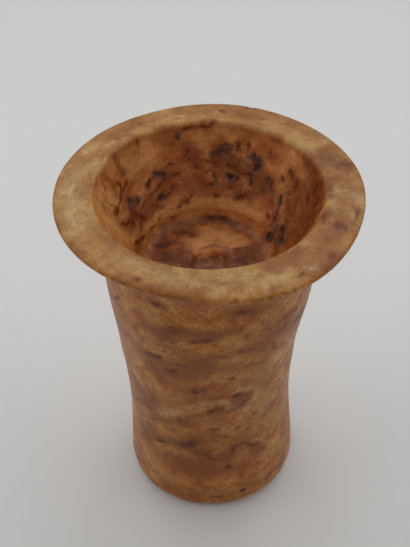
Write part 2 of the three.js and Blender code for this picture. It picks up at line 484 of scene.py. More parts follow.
LIP_CREAM = [
    (3.4, 0.68, (-98, 40), (-82, 40.4), (-62, 40.8)),
    (3.4, 0.45, (-30, 38), (-12, 39.6), (2, 41)),
    (2, 1, (87.6, 40), (85.6, 41.8), (85, 43.8)),
    (0.7, 0.7, (82, 39.6), (81, 43)),
    (0.7, 0.6, (93, 40), (94, 43.6)),
    (0.6, 0.5, (77, 40), (75.6, 44)),
    (1, 0.6, (40, 42.6), (37, 42)),
    (1.2, 1, (-90, 40.4), (-84, 40.4), (-79, 40.2)),
    (1.3, 0.7, (-77, 40.2), (-68, 40.6)),
    (0.9, 0.7, (-80, 36.8), (-72, 37)),
    (2.4, 0.55, (-34, 38.6), (-16, 39.6), (-4, 41)),
    (2, 0.5, (4, 38), (16, 38)),
    (1.8, 0.55, (22, 41), (30, 40)),
    (1.6, 0.6, (-121, 41.6), (-113, 42)),
    (1, 0.9, (-126.6, 38), (-122.6, 38.4)),
    (1, 0.6, (-104, 44), (-98, 44.4)),
    (1, 0.5, (-170, 38), (-160, 38)),
    (1.2, 0.5, (150, 38), (158, 37.6)),
]
LIP_GOLD = [
    (3.6, 0.7, (-74, 38), (-58, 40), (-50, 41)),
    (2.4, 0.5, (-40, 42), (-20, 41)),
    (2.2, 0.9, (93, 43.4), (97, 40), (98, 43.4)),
    (2, 0.6, (60, 44), (54, 43), (40, 40)),
    (1.8, 0.8, (84, 43), (80, 42)),
    (1.8, 0.8, (60, 43.6), (56, 43.4)),
]
LIP_PIT = [
    (0.5, 0.9, (165.6, 43.4), (163.4, 43.9)),
]

# On the wall of the hollow a place is (angle, depth).
WALL_IRON = [
    (0.8, 0.75, (262, 15), (250, 12.6), (238, 10.6)),
    (0.7, 0.7, (250, 24), (238, 21), (226, 18.4), (214, 17)),
    (0.6, 0.6, (240, 27.6), (228, 26), (216, 25.4)),
    (0.7, 0.65, (184, 12.6), (174, 13.4), (160, 14.6), (146, 14)),
    (4, 0.42, (118, 12), (111, 17), (105, 23)),
    (5.5, 0.62, (100, 4), (88, 8), (84, 16)),
    (0.8, 0.8, (92, 5), (88, 10), (88, 15)),
    (0.7, 0.7, (84, 3), (80, 8), (78, 13)),
    (0.7, 0.6, (264, 2), (262, 8), (258, 14)),
    (0.6, 0.6, (206, 11.8), (200, 12.8), (193, 12)),
    (0.6, 0.5, (190, 11.6), (182, 12.4), (172, 12.2)),
    (0.6, 0.5, (186, 16), (178, 14.6)),
    (0.6, 0.6, (222, 18), (214, 17), (208, 15.6)),
    (0.7, 0.6, (232, 24), (226, 23), (218, 23.4)),
    (0.9, 0.7, (201.6, 5), (202, 6.6)),
    (0.8, 0.6, (195, 2.6), (188, 2), (180, 0.8)),
    (0.7, 0.5, (223, 1.4), (222, 3.6)),
    (0.8, 0.6, (258.6, 4.4), (257.4, 6.4)),
    (0.8, 0.8, (247, 8.6), (245.6, 10), (246, 11.4)),
    (0.7, 0.5, (250, 12.4), (248.4, 13.6)),
    (1.2, 0.6, (263, 14), (259, 14.4)),
    (1, 0.9, (226, 15.6), (222, 15), (218, 14.6)),
    (0.5, 0.7, (207, 11.8), (203.6, 12.2)),
    (0.9, 0.8, (197, 10.6), (193.6, 9.4)),
    (0.6, 0.6, (199.6, 13.8), (199.8, 15)),
    (0.9, 0.7, (205.6, 15), (201, 15.6)),
    (0.7, 0.8, (191, 14.4), (189.4, 14.6)),
    (1.1, 0.7, (207, 17), (205.6, 19)),
    (1, 0.8, (260, 18.4), (256, 19.6), (249, 19.8)),
    (1.5, 0.9, (250, 20.4), (243, 20.8), (239, 22.6)),
    (1, 0.7, (230, 19.6), (227.6, 21), (224, 22.6)),
    (1.1, 0.7, (216, 20.4), (209, 20.6)),
    (1.5, 0.65, (200.6, 23.4), (196.6, 23.8)),
    (0.9, 0.6, (206, 24.6), (203, 24.2)),
    (0.9, 0.55, (193, 22.6), (190, 22.4)),
    (1.2, 0.9, (262, 25.4), (256, 25.8), (249, 26)),
    (0.8, 0.6, (213, 27.6), (207, 28)),
    (0.8, 0.7, (157.4, 5.8), (156.6, 6.4)),
    (1.1, 0.4, (156, 7), (156, 8)),
    (0.9, 0.5, (143.6, 6), (142.6, 7.4)),
    (0.8, 0.8, (169, 13.4), (164, 13.6)),
    (1, 0.6, (140.6, 17), (139, 18)),
    (1, 0.8, (156, 21.2), (153, 21)),
    (0.5, 0.6, (175, 21.6), (173, 23), (172, 22)),
    (0.8, 0.8, (128.6, 22.6), (126.6, 23)),
    (1.1, 0.8, (119.6, 20.6), (119, 23)),
    (1.4, 0.8, (118.4, 10), (116.6, 12.2)),
    (1.1, 0.6, (126, 8.2), (124, 9.4)),
    (0.8, 0.6, (131.6, 10.8), (129, 11.4)),
    (1.5, 0.7, (103, 8.2), (101, 11.4)),
    (1.3, 0.7, (95.6, 7.6), (93, 9)),
    (0.8, 0.5, (110, 1), (106, 3)),
]
WALL_RUST_AND_SHADE = [
    (2, 0.6, (264, 18), (250, 15), (236, 12.6), (222, 11.6)),
    (2.2, 0.65, (262, 26), (246, 23), (230, 19.6), (212, 18), (196, 17.4)),
    (1.8, 0.8, (196, 21), (180, 22), (164, 21.4), (146, 22)),
    (3.6, 0.7, (134, 18), (126, 20), (118, 24)),
    (2, 0.55, (92, 2.4), (120, 2.2), (150, 2), (180, 2), (214, 2), (240, 2.4)),
    (5, 0.9, (88, 3), (84, 14), (84, 24)),
    (3.4, 0.35, (210, 3), (203, 7), (194, 10)),
    (4.5, 0.8, (174, 9), (162, 12), (150, 14), (140, 14)),
    (4, 0.75, (212, 17), (200, 18), (186, 20)),
    (3.4, 0.75, (258, 20), (244, 20), (226, 20)),
    (4, 0.8, (120, 2), (106, 4), (92, 6)),
    (4, 0.7, (116, 12), (104, 16), (94, 18)),
    (3, 0.6, (160, 5), (148, 4), (140, 7)),
    (2.2, 0.6, (268, 8), (264, 14), (262, 20)),
    (4, 0.9, (98, 14), (92, 21), (93, 27)),
    (3, 0.7, (84, 4), (84, 12), (86, 20)),
    (1, 0.7, (272, 4), (269, 12), (264, 20)),
    # Partly painted shade: a darker band along the crease where the wall meets the floor at the back,
    # over some darker stone.
    (1.6, 0.6, (246, 29), (214, 29.4), (178, 29.6), (140, 29.4), (104, 29)),
    (1.8, 0.9, (200, 3), (194, 2.4), (186, 1.8), (178, 0.8)),
    (2, 0.7, (256, 3), (251, 6), (252, 11)),
    (1.8, 0.9, (264, 14), (258, 14.6)),
    (2.4, 0.7, (206, 15), (196, 15), (188, 14)),
    (2.6, 0.9, (236, 21.4), (226, 22), (214, 21.4)),
    (3.4, 0.8, (208, 19), (198, 20), (186, 18)),
    (3, 0.8, (190, 17), (184, 20), (176, 21)),
    (2.2, 0.8, (270, 26), (262, 27.4)),
    (3, 0.9, (174, 15), (166, 19), (158, 19)),
    (2.4, 0.7, (150, 20), (140, 19)),
    (1.8, 0.7, (113, 15.6), (109, 16.4)),
    (3.6, 0.7, (112, 9), (106, 13), (98, 15)),
]
WALL_PLUM = [
    (4.5, 0.7, (124, 9), (114, 13), (106, 19)),
    (5, 0.9, (112, 3), (101, 9), (94, 18)),
    (3, 0.8, (99, 2), (93, 8), (90, 16)),
    (1.2, 0.9, (240.6, 1), (239, 5), (239, 8)),
    (2.6, 0.9, (256, 21), (246, 21.6), (238, 23)),
    (3, 0.9, (176, 12), (166, 12.4), (156, 13)),
    (2.6, 0.9, (152, 13), (149, 17), (142, 17)),
    (2, 1, (157, 20.8), (150, 20.6)),
    (2.6, 1, (115, 2), (109, 4), (102, 5)),
    (3, 1, (104, 9), (100, 11.6), (96, 8.6)),
    (3.2, 0.9, (118, 22), (108, 24), (100, 26)),
]
WALL_CREAM = [
    (0.35, 0.9, (209.6, 11), (206, 11.2), (203, 12)),
    (1.2, 0.6, (262, 1), (246, 1)),
    (1, 0.5, (176, 1), (150, 1.4)),
]
WALL_GOLD = [
    (4, 0.9, (248, 25.8), (236, 26.4), (224, 26.4)),
    (3.6, 1, (200, 26.4), (184, 25.2), (168, 24.6)),
    (2.4, 0.8, (158, 23.6), (148, 24.6), (134, 24.4)),
    (4.6, 0.9, (234, 4), (230, 8), (222, 11)),
    (5, 1, (276, 4), (268, 7)),
    (2, 0.7, (190, 6), (183, 8), (182, 12)),
    (2.6, 0.7, (172, 3), (168, 5)),
    (2.2, 0.7, (126, 12.4), (122, 14.6)),
    (2.2, 0.5, (138, 4), (134, 8), (140, 10)),
]
WALL_PIT = [
    (1.1, 0.95, (199.4, 3.8), (199, 5)),
    (1.5, 0.95, (216.6, 13.4), (212.6, 14.2), (210.6, 15)),
    (1.7, 0.95, (244, 16), (240, 17), (237, 17.6)),
    (1.3, 0.66, (245, 18), (243.6, 18.6)),
    (1.4, 0.95, (218.4, 21), (214, 20.8)),
    (1.6, 0.85, (178.6, 10), (175, 9.4), (172.6, 8)),
    (1, 0.76, (172.6, 9.8), (169, 8.4)),
    (1.3, 1, (163.8, 6.8), (163, 8.2)),
    (1.8, 1.1, (152, 8.8), (150.4, 10), (149.6, 11.6)),
    (1.1, 0.95, (156, 9.8), (154, 9.6)),
    (1, 0.85, (177.6, 16.2), (176.6, 18.4)),
    (1, 0.76, (181, 19.8), (179.4, 19.6)),
    (1.5, 1, (166.6, 16.4), (163, 16.6), (160.4, 17)),
    (1, 0.76, (164, 18.4), (163, 19.6)),
    (1.1, 0.85, (151.4, 15), (150.6, 17)),
    (1.6, 0.95, (139, 14.6), (136.8, 15.4)),
    (1.4, 1.1, (123.4, 16), (121.8, 17.2)),
    (0.92, 0.85, (121.4, 18), (120.6, 19.8)),
    (1.6, 1.1, (106.6, 21.6), (103.6, 22.6)),
    (1.5, 1.1, (98.4, 23.4), (102, 25.2), (104.6, 25.8)),
    (1.5, 1.1, (112, 26.4), (117, 27.4)),
    (1, 0.76, (112, 23.6), (110, 24.6)),
    (1, 0.76, (95.6, 21.4), (93, 22.4)),
    (0.92, 0.66, (119, 25), (116, 24.4)),
]

# On the floor of the hollow a place is (x, y).
FLOOR_IRON_AND_SHADE = [
    (4, 0.7, (-14, 3), (-4, 0), (6, 2), (14, 1)),
    (2.6, 0.5, (-15, 12), (-9, 9)),
    (1.1, 0.9, (0, 20.4), (3, 20.8), (6.4, 20)),
    (0.9, 0.6, (8, 19), (9.6, 18)),
    (1, 0.5, (8, 15.4), (11.6, 15)),
    (2.2, 0.7, (-9.4, 13.6), (-5, 13.4)),
    (0.9, 0.6, (-9, 18), (-4.6, 17.4)),
    (2.4, 0.75, (-16, 8), (-10.6, 10)),
    (1.7, 0.6, (-11.4, 2), (-8.6, 4.6)),
    (1, 0.6, (6.4, 6.2), (14, 6)),
    (1.3, 0.6, (9.4, 4.2), (12.6, 3.8)),
    # Painted shade on the front of the stump, below its lit top.
    (1.2, 0.8, (-4, -1.6), (0, -2.2), (4.6, -1.4)),
]
FLOOR_RUST_AND_SHADE = [
    (3.6, 0.8, (-15, 6), (-9, 4)),
    (4, 0.9, (8, 2), (14, 5), (17, 9)),
    (1.4, 0.9, (-1.6, 18), (-1, 19.4), (2, 20)),
    (1.6, 0.9, (-15, 15), (-13.4, 14.4)),
    (2, 0.9, (-18.6, 4.6), (-16, 3.4)),
    (0.6, 0.5, (1, 15.4), (2, 17.6), (4.6, 17.6), (5, 15.4), (3, 14.4), (1, 15.4)),
    (0.9, 0.9, (-3, 6), (0.6, 7.6), (5, 6.8)),
    (2.4, 0.8, (15, 12), (17.6, 9)),
    # Painted shade: a broad dark arc in front of the stump.
    (3, 0.9, (-14, -3), (0, -4), (14, -2)),
    (2.6, 0.7, (-16, 1), (-8, -1), (4, -1), (16, 2)),
]
FLOOR_PLUM_AND_SHADE = [
    # Partly painted shade: a darker arc along the crease at the back of the floor, over some darker
    # stone.
    (1.9, 0.8, (-14, 13), (-8, 18), (0, 20), (8, 18.6), (14, 13)),
    (3.2, 0.6, (9, 3), (15, 6), (17, 10)),
    (2.6, 0.9, (8, 17.6), (13, 15)),
    (2.6, 0.8, (-10, 17), (-6, 16), (-3.4, 15)),
    (2.6, 1, (-12, 1.4), (-9, 5)),
    (2.4, 0.9, (8.6, 4.4), (14, 3.6)),
    (2, 0.6, (17, 7), (19, 5)),
    # Painted shade on the front of the stump.
    (2.2, 0.7, (-5, -3.4), (0, -4), (6, -3)),
]
FLOOR_CREAM = [
    (2.6, 0.3, (-2.6, 9), (-1, 12)),
]
FLOOR_GOLD = [
    (4.4, 0.8, (-4, 12), (5, 12.6), (9, 10)),
    (3, 0.6, (-6, 9), (0, 9.4), (10, 10.6)),
]

KINDS = ("iron_and_shade", "rust_and_shade", "plum_and_shade", "cream", "gold", "pit")

# A mark's points for each of its places, how far past its half width it is looked for, and how far the
# noises push its edge about, as (wave, push) in millimetres
TRACE_POINTS = 12
MARK_REACH = 2.2
STRAY_NOISES = [(4.5, 1.2), (1.8, 0.7)]

# The seed of the random vectors that push the marks about and roughen the surface
NOISE_SEED = 3

# What the hidden sides are given: marks of the same kinds as the seen ones, from a fixed seed. Each
# pair is a range to draw from. A length is in degrees round the vase, a rise is in millimetres for each
# degree of it, and a level is a height on the body or a depth in the hollow.
SEED = 11
HIDDEN_COUNT = 130
HIDDEN_KINDS = ["iron_and_shade", "iron_and_shade", "iron_and_shade", "rust_and_shade", "rust_and_shade", "plum_and_shade", "cream", "gold", "pit"]
HIDDEN_STRENGTH = (0.45, 0.9)
HIDDEN_RISE = (-0.02, 0.12)
STAIN_KINDS = ("iron_and_shade", "pit")
STAIN_SIZE = {"half_width": (0.8, 1.8), "length": (2, 9)}
WASH_SIZE = {"half_width": (2, 5), "length": (6, 30)}
HOLLOW_SHARE = 0.2
HOLLOW_AREA = {"angle": (-70, 70), "level": (3, 27)}
BODY_AREA = {"angle": (88, 272), "level": (4, 116)}

# Relief of the surface, in millimetres, all of it inward, which fades out over a margin to the sole
SKIN = 0.03
UNEVENNESS = 0.16
BROAD_WAVE = 16.0
BROAD_SHARE = 0.7
SMALL_WAVE = 3.5
PIT_DEPTH = 0.35
PIT_WAVE = 0.9
RING_PITCH = 2.1
TOOL_RING = 0.05
CHIP_PLACE = (163.5, 45.2)
CHIP_RADIUS = 1.3
CHIP_DEPTH = 0.35
SOLE_MARGIN = 1.5

# Where the hollow's surface begins: how far out from its wall, how far below its floor, and for its
# tones how far below the rim
WALL_MARGIN = (0.8, 2.5)
FLOOR_MARGIN = 2.0
EDGE_MARGIN = (0.2, 1.4)

stretches = profile_stretches(ROWS)
outer_side = np.concatenate([stretches[name] for name in ("foot", "body", "flare")])
lip_top = np.concatenate([stretches[name] for name in ("lip_high", "top", "mouth")])
inner_wall = np.concatenate([stretches[name] for name in ("mouth", "wall", "crease")])
hollow_floor = np.concatenate([stretches[name] for name in ("crease", "floor", "ring", "stump")])


def on_body(angle, z):
    return np.interp(z, outer_side[:, 1], outer_side[:, 0]), angle, z


def on_lip(angle, radius):
    return radius, angle, np.interp(radius, lip_top[::-1, 0], lip_top[::-1, 1])


def on_wall(angle, depth):
    return np.interp(HEIGHT - depth, inner_wall[::-1, 1], inner_wall[::-1, 0]), angle, HEIGHT - depth


def on_floor(x, y):
    radius = np.hypot(x, y)
    z = np.interp(radius, hollow_floor[::-1, 0], hollow_floor[::-1, 1])
    return radius, np.degrees(np.arctan2(x, -y)), z


# The seen marks by surface, with their tables in the order of KINDS
SEEN_MARKS = [
    (on_body, (BODY_IRON_AND_SHADE, BODY_RUST_AND_SHADE, BODY_PLUM, BODY_CREAM, BODY_GOLD)),
    (on_lip, (LIP_IRON, LIP_RUST, LIP_PLUM, LIP_CREAM, LIP_GOLD, LIP_PIT)),
    (on_wall, (WALL_IRON, WALL_RUST_AND_SHADE, WALL_PLUM, WALL_CREAM, WALL_GOLD, WALL_PIT)),
    (on_floor, (FLOOR_IRON_AND_SHADE, FLOOR_RUST_AND_SHADE, FLOOR_PLUM_AND_SHADE, FLOOR_CREAM, FLOOR_GOLD)),
]


def trace(places, surface):
    """Points in millimetres close together along a mark that runs through the given places."""
    places = np.array(places, float)
    steps = np.linspace(0, len(places) - 1, TRACE_POINTS * len(places))
    across, along = (np.interp(steps, np.arange(len(places)), places[:, k]) for k in (0, 1))
    radius, angle, z = surface(across, along)
    return hand_carved(radius, np.radians(angle), z)


def hidden_marks():
    """Marks for the back of the body and the near side of the hollow."""
    chance = random.Random(SEED)
    for _ in range(HIDDEN_COUNT):
        kind = chance.choice(HIDDEN_KINDS)
        size = STAIN_SIZE if kind in STAIN_KINDS else WASH_SIZE
        half_width = chance.uniform(*size["half_width"])
        strength = chance.uniform(*HIDDEN_STRENGTH)
        length = chance.uniform(*size["length"])
        inside = chance.random() < HOLLOW_SHARE
        area = HOLLOW_AREA if inside else BODY_AREA
        angle = chance.uniform(*area["angle"])
        level = chance.uniform(*area["level"])
        rise = chance.uniform(*HIDDEN_RISE) * length
        places = [(angle - length / 2, level - rise / 2), (angle + length / 2, level + rise / 2)]
        if kind == "pit" and not inside:
            kind = "iron_and_shade"
        yield kind, half_width, strength, places, on_wall if inside else on_body


def all_marks():
    """Every mark, as (kind, half width, strength, places, surface that it lies on)."""
    for surface, tables in SEEN_MARKS:
        for kind, marks in zip(KINDS, tables):
            for half_width, strength, *places in marks:
                yield kind, half_width, strength, places, surface
    yield from hidden_marks()


def noise_at(points, wave):
    """A smooth random vector at each point, whose waves are about as long as the given wave."""
    return np.array([noise.noise_vector(Vector(p) / wave) for p in points])


def paint(points):
    """How strongly each kind of mark shows at each point, from 0 to about 1."""
    strayed = points + sum(push * noise_at(points, wave) for wave, push in STRAY_NOISES)
    shown = {kind: np.zeros(len(points)) for kind in KINDS}
    for kind, half_width, strength, places, surface in all_marks():
        line_points = trace(places, surface)
        reach = MARK_REACH * half_width
        low, high = line_points.min(0) - reach, line_points.max(0) + reach
        near = np.nonzero(((strayed > low) & (strayed < high)).all(1))[0]
        gaps = strayed[near, None] - line_points[None]
        distance = np.sqrt((gaps**2).sum(2)).min(1)
        share = strength * np.exp(-((distance / half_width) ** 2))
        shown[kind][near] = np.maximum(shown[kind][near], share)
    return shown


def vase_grid():
    """Radius, angle and height of the turned form at each vertex, in rows and columns."""
    rows = np.concatenate(list(stretches.values()))[1:]
    angle = np.linspace(-math.pi, math.pi, COLUMNS, endpoint=False)
    radius = np.repeat(rows[:, :1], COLUMNS, 1)
    z = np.repeat(rows[:, 1:], COLUMNS, 1)
    return radius, np.repeat(angle[None], len(rows), 0), z


def vase_faces(rows, first_pole, last_pole):
    """Quads between the rows, and a fan of triangles round each pole."""
    column = np.arange(COLUMNS)
    beside = (column + 1) % COLUMNS
    faces = []
    for row in range(rows - 1):
        low, high = row * COLUMNS, (row + 1) * COLUMNS
        faces += np.stack([low + column, low + beside, high + beside, high + column], 1).tolist()
    last = (rows - 1) * COLUMNS
    faces += [(first_pole, b, a) for a, b in zip(column.tolist(), beside.tolist())]
    faces += [(last_pole, last + a, last + b) for a, b in zip(column.tolist(), beside.tolist())]
    return faces


def in_hollow(points):
    """1 on the wall and floor of the hollow, fading to 0 across the eased edge of the mouth."""
    radius = np.hypot(points[:, 0], points[:, 1])
    wall = np.interp(points[:, 2], inner_wall[::-1, 1], inner_wall[::-1, 0])
    near, far = WALL_MARGIN
    above_floor = points[:, 2] > HEIGHT - HOLLOW_DEPTH - FLOOR_MARGIN
    return (1 - smooth(wall + near, wall + far, radius)) * above_floor


def tone_shares(points):
    """Where the lip's tones (partly painted light on its upward face) show rather than the body's, and
    where the hollow's show over both.
    """
    inside = in_hollow(points)
    lip_tip = HEIGHT - LIP_FALL - LIP_THICKNESS / 2
    # The lip's upward face takes the paler lip tones: partly worn stone and partly painted light from
    # above.
    top = smooth(lip_tip, HEIGHT - LIP_FALL, points[:, 2])
    near, far = EDGE_MARGIN
    below_edge = 1 - smooth(HEIGHT - far, HEIGHT - near, points[:, 2])
    return np.maximum(top, inside), inside * below_edge


def chip(points):
    """How deep the chip at the back right of the lip is at each point."""
    radius, angle, z = on_lip(*CHIP_PLACE)
    middle = hand_carved(np.array(radius), np.array(math.radians(angle)), np.array(z))
    return CHIP_DEPTH * np.clip(1 - np.linalg.norm(points - middle, axis=1) / CHIP_RADIUS, 0, 1)


def relief(points, pits):
    """How far inward each point of the true form lies, in millimetres."""
    broad = 0.5 + 0.5 * noise_at(points, BROAD_WAVE)[:, 0]
    small = 0.5 + 0.5 * noise_at(points, SMALL_WAVE)[:, 1]
    uneven = UNEVENNESS * (BROAD_SHARE * broad + (1 - BROAD_SHARE) * small)
    pitted = PIT_DEPTH * pits * np.clip(0.5 + noise_at(points, PIT_WAVE)[:, 2], 0, 1)
    rings = 0.5 + 0.5 * np.sin(2 * np.pi * points[:, 2] / RING_PITCH)
    depth = SKIN + uneven + pitted + TOOL_RING * in_hollow(points) * rings + chip(points)
    return depth * smooth(0, SOLE_MARGIN, points[:, 2])


def make_vase():
    noise.seed_set(NOISE_SEED)
    radius, angle, z = vase_grid()
    points = hand_carved(radius, angle, z).reshape(-1, 3)
    floor = HEIGHT - HOLLOW_DEPTH
    poles = hand_carved(np.zeros(2), np.zeros(2), np.array([0.0, floor + STUMP_HEIGHT]))
    faces = vase_faces(len(radius), len(points), len(points) + 1)
    points = np.concatenate([points, poles])
    mesh = bpy.data.meshes.new("alabaster_vase")
    mesh.from_pydata((points * MM).tolist(), [], faces)
    shown = paint(points)
    normals = np.zeros(3 * len(points))
    mesh.vertices.foreach_get("normal", normals)
    carved = points - normals.reshape(-1, 3) * relief(points, shown["pit"])[:, None]
    mesh.vertices.foreach_set("co", (carved * MM).ravel())
    shown["rim"], shown["hollow"] = tone_shares(points)
    for kind, amount in shown.items():
        layer = mesh.attributes.new(kind, "FLOAT", "POINT")
        layer.data.foreach_set("value", amount)
    mesh.shade_smooth()
    mesh.update()
    vase = bpy.data.objects.new("alabaster_vase", mesh)
    bpy.context.scene.collection.objects.link(vase)
    return vase


# Camera: the photograph's view, looking down at the vase from in front, placed in millimetres. The
# focal length and the picture's height are in pixels, and the nearest distance seen is in metres.
FOCAL_PIXELS = 850
PICTURE_HEIGHT = 547
SENSOR = 36.0
NEAREST = 0.01
CAMERA_PLACE = (0.07, -196.2, 277.5)
CAMERA_TURN = math.radians(-0.80)
CAMERA_DOWN = math.radians(43.70)
CAMERA_ROLL = math.radians(0.02)


def make_camera():
    data = bpy.data.cameras.new("camera")
    data.sensor_width = SENSOR
    data.lens = FOCAL_PIXELS / PICTURE_HEIGHT * SENSOR
    data.clip_start = NEAREST
    camera = bpy.data.objects.new("camera", data)
    level = Vector((math.sin(CAMERA_TURN), math.cos(CAMERA_TURN), 0))
    right = Vector((math.cos(CAMERA_TURN), -math.sin(CAMERA_TURN), 0))
    ahead = math.cos(CAMERA_DOWN) * level - math.sin(CAMERA_DOWN) * Vector((0, 0, 1))
    down = ahead.cross(right)
    across = math.cos(CAMERA_ROLL) * right + math.sin(CAMERA_ROLL) * down
    up = math.sin(CAMERA_ROLL) * right - math.cos(CAMERA_ROLL) * down
    turn = Matrix((across, up, -ahead)).transposed()
    camera.matrix_world = Matrix.Translation(Vector(CAMERA_PLACE) * MM) @ turn.to_4x4()
    bpy.context.scene.collection.objects.link(camera)
    bpy.context.scene.camera = camera


# Light and floor, in metres. A lamp is (name, place, width of its square, watts), and faces the vase.
FLOOR_HALF = 2.0
FLOOR_GREY = (0.75, 0.75, 0.74, 1)
FLOOR_ROUGHNESS = 0.6
SKY_COLOUR = (1.0, 1.0, 1.0, 1)
SKY_STRENGTH = 0.32
LAMPS = [
    ("back_left", (-0.4, 0.45, 0.7), 0.6, 1.12),
    ("back_right", (0.4, 0.45, 0.7), 0.6, 1.2),
    ("left", (-0.8, -0.1, 0.6), 0.6, 1.44),
    ("right", (0.8, -0.1, 0.6), 0.6, 1.08),
    ("front_low", (0.0, -0.9, 0.35), 0.6, 0.3),
    ("back_near", (0.0, 0.25, 0.5), 0.5, 0.43),
]


def make_light():
    world = bpy.data.worlds.new("soft_sky")
    world.use_nodes = True
    sky = world.node_tree.nodes["Background"]
    sky.inputs["Color"].default_value = SKY_COLOUR
    sky.inputs["Strength"].default_value = SKY_STRENGTH
    bpy.context.scene.world = world
    for name, place, size, watts in LAMPS:
        data = bpy.data.lights.new(name, "AREA")
        data.size = size
        data.energy = watts
        lamp = bpy.data.objects.new(name, data)
        lamp.location = place
        lamp.rotation_mode = "QUATERNION"
        lamp.rotation_quaternion = Vector(place).to_track_quat("Z", "Y")
        bpy.context.scene.collection.objects.link(lamp)


def make_floor():
    mesh = bpy.data.meshes.new("floor")
    h = FLOOR_HALF
    mesh.from_pydata([(-h, -h, 0), (h, -h, 0), (h, h, 0), (-h, h, 0)], [], [(0, 1, 2, 3)])
    floor = bpy.data.objects.new("floor", mesh)
    bpy.context.scene.collection.objects.link(floor)
    material = bpy.data.materials.new("pale_floor")
    material.use_nodes = True
    shader = material.node_tree.nodes["Principled BSDF"]
    shader.inputs["Base Color"].default_value = FLOOR_GREY
    shader.inputs["Roughness"].default_value = FLOOR_ROUGHNESS
    mesh.materials.append(material)


# Colours of the stone, as linear shares of red, green and blue, with tones from dark to light
BODY_TONES = [(0.21, 0.055, 0.008), (0.355, 0.114, 0.018), (0.46, 0.171, 0.028), (0.58, 0.268, 0.056)]
# The lip's tones are paler and yellower than the body's, partly for its worn stone and partly as
# painted light falling on its upward face.
WORN_AND_LIT_LIP_TONES = [(0.25, 0.09, 0.022), (0.36, 0.16, 0.041), (0.435, 0.222, 0.059), (0.53, 0.325, 0.11)]
HOLLOW_TONES = [(0.27, 0.074, 0.021), (0.47, 0.153, 0.043), (0.62, 0.236, 0.07), (0.72, 0.35, 0.135)]
TONE_STOPS = (0.08, 0.4, 0.62, 0.95)
GOLD = (0.46, 0.22, 0.055)
HONEY = (0.64, 0.31, 0.095)
CREAM = (0.58, 0.415, 0.2)
# Rust, plum and iron also colour the rows of marks that are painted shade.
RUST_AND_SHADE = (0.22, 0.052, 0.01)
PLUM_AND_SHADE = (0.172, 0.054, 0.015)
IRON_AND_SHADE = (0.065, 0.014, 0.003)
SHADE = (0.1, 0.032, 0.016)
PIT = (0.022, 0.01, 0.006)
GLINT = (0.46, 0.38, 0.3)

# Noises of the stone, as (along the bedding or not, wave in millimetres, detail, roughness, twist)
BEDDING_TILT = math.radians(4)
BEDDING_STRETCH = 0.7
NOISES = {
    "clouds": (False, 12.0, 2.5, 0.5, 0.6),
    "drift": (True, 4.5, 2.5, 0.5, 0.8),
    "mottle": (True, 2.0, 3.0, 0.6, 0.5),
    "fine": (False, 0.8, 4.0, 0.65, 0.0),
    "ragged": (True, 2.0, 5.0, 0.65, 0.5),
    "crumbs": (False, 1.2, 4.0, 0.65, 0.3),
    "dots": (False, 1.1, 3.0, 0.6, 0.3),
    "grain": (False, 0.4, 2.0, 0.6, 0.0),
}

# What the body's lively tones and the calm ones of the lip and hollow are made of, and how far from
# its middle each sum goes to reach the darkest and the lightest tone
LIVELY = {"clouds": 0.33, "drift": 0.25, "mottle": 0.24, "fine": 0.18}
LIVELY_SPREAD = 0.14
CALM = {"clouds": 0.52, "drift": 0.34, "fine": 0.14}
CALM_SPREAD = 0.18

# Veins, as (wave, half width as a share of the noise, twist)
PALE_VEINS = (7.0, 0.035, 1.0)
BROWN_VEINS = (5.0, 0.025, 1.4)
VEIN_DETAIL = 4.0
VEIN_ROUGHNESS = 0.6

# Smooth steps of a noise or of a mark's strength, as (low, high, result at low, result at high). One
# with no results runs from 0 to 1. One without its last result ends higher on the body than on the lip.
PALE_PLACES = (0.45, 0.62, 0.0, 0.3)
BROWN_PLACES = (0.6, 0.42, 0.0, 0.3)
WASH_RAGGED = (0.3, 0.7, 0.65, 1.3)
WASH_FINE = (0.35, 0.65, 0.84, 1.16)
SPOTS = (0.55, 0.63)
SPOT_PLACES = (0.6, 0.42, 0.15)
STAIN_RAGGED = (0.3, 0.7, 0.5, 1.4)
STAIN_EDGE = (0.0, 0.55, 0.0, 0.8)
STAIN_CORE = (0.2, 1.0, 0.0, 0.88)
PIT_CRUMBS = (0.34, 0.64, 0.45, 1.25)
PIT_EDGE = (0.0, 0.6, 0.0, 0.8)
PIT_CORE = (0.3, 1.15, 0.0, 0.93)
GLINTS = (0.62, 0.7)
GLINT_PLACES = (0.05, 0.45, 0.0, 0.5)
SPECKS = (0.64, 0.73)
SPECK_PLACES = (0.45, 0.6, 0.0)
FINE_VALUE = (0.3, 0.7, 0.93, 1.07)
FINE_ROUGHNESS = (0.3, 0.7, 0.34, 0.46)

# How strongly each wash shows, and the spots and specks as (on the body, on the lip)
WASH_STRENGTH = {"gold": 0.75, "cream": 0.65, "rust_and_shade": 0.8, "plum_and_shade": 0.8}
SPOT_STRENGTH = (0.85, 0.4)
SPECK_STRENGTH = (0.5, 0.12)

# The surface of the stone: how much rougher its pits are, and its finest relief, in millimetres high
PIT_ROUGHER = 0.25
FINE_RELIEF = 0.6
GRAIN_RELIEF = 0.25
BUMP_STRENGTH = 0.35
BUMP_HEIGHT = 0.25
SPECULAR_LEVEL = 0.25


